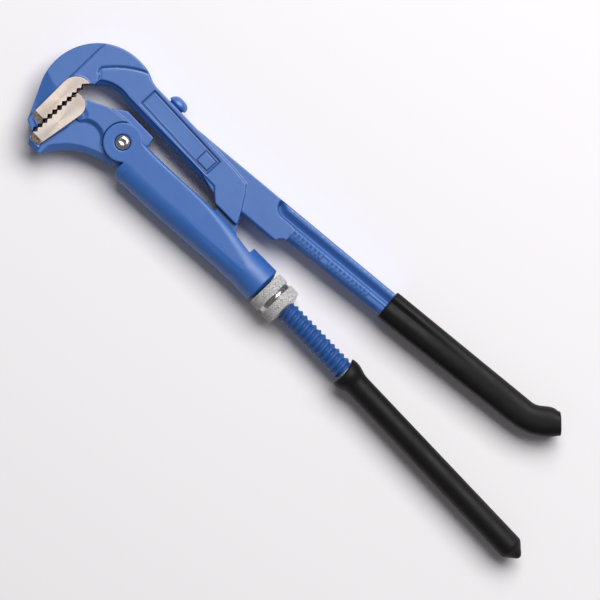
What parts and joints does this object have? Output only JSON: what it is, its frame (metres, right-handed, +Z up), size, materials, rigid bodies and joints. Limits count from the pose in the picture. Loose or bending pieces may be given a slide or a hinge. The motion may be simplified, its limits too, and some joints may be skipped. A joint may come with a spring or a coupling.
{
  "type": "pipe wrench",
  "caption": "Bent-nose pipe wrench: hook jaw on a fixed leg, moving jaw on a sleeve that slides along a threaded lower leg and is set by a knurled nut.",
  "frame": {"origin": "on the bench under the middle of the whole tool, as it lies flat", "axes": "+X along the spindle from the jaws to the handles, +Y across the tool from the spindle to the fixed leg, +Z up, through the thickness"},
  "size_m": [0.3265, 0.0942, 0.0201],
  "materials": {
    "blue_paint": "satin enamel on forged steel",
    "grip_vinyl": "dipped vinyl, softly matt",
    "dark_steel": "blued spring steel",
    "ground_steel": "ground faces of the jaws",
    "polished_steel": "polished",
    "zinc_plate": "zinc plated, knurled"
  },
  "bodies": {
    "fixed_leg": {"fixed_leg": "blue_paint", "fixed_grip": "grip_vinyl", "leaf_spring": "dark_steel", "spring_rivet": "blue_paint"},
    "lower_leg": {"spindle_leg": "blue_paint", "lower_grip": "grip_vinyl", "pivot_pin": "dark_steel"},
    "sleeve": {"sleeve": "blue_paint", "jaw_rivet": "polished_steel"},
    "adjusting_nut": {"adjusting_nut": "zinc_plate"},
    "moving_jaw": {"moving_jaw": "blue_paint"}
  },
  "joints": [
    {"name": "squeeze", "type": "hinge", "parent": "fixed_leg", "child": "lower_leg", "pos_m": [-0.05224, -0.02, 0.01005], "axis": [0, 0, 1], "range_deg": [-5, 4]},
    {"name": "adjust", "type": "slide", "parent": "lower_leg", "child": "sleeve", "axis": [1, 0, 0], "range_m": [0, 0.038]},
    {"name": "nut_turn", "type": "hinge", "parent": "sleeve", "child": "adjusting_nut", "pos_m": [-0.00824, -0.0135, 0.01005], "axis": [1, 0, 0], "range_deg": [0, 4345]},
    {"name": "jaw_pivot", "type": "hinge", "parent": "sleeve", "child": "moving_jaw", "pos_m": [-0.11224, -0.0138, 0.01005], "axis": [0, 0, 1], "range_deg": [-5.5, 5.5]}
  ],
  "couplings": [
    {"joint": "nut_turn", "follows": "adjust", "rad_per_m": 1994.7},
    {"joint": "jaw_pivot", "follows": "squeeze", "ratio": -1}
  ]
}
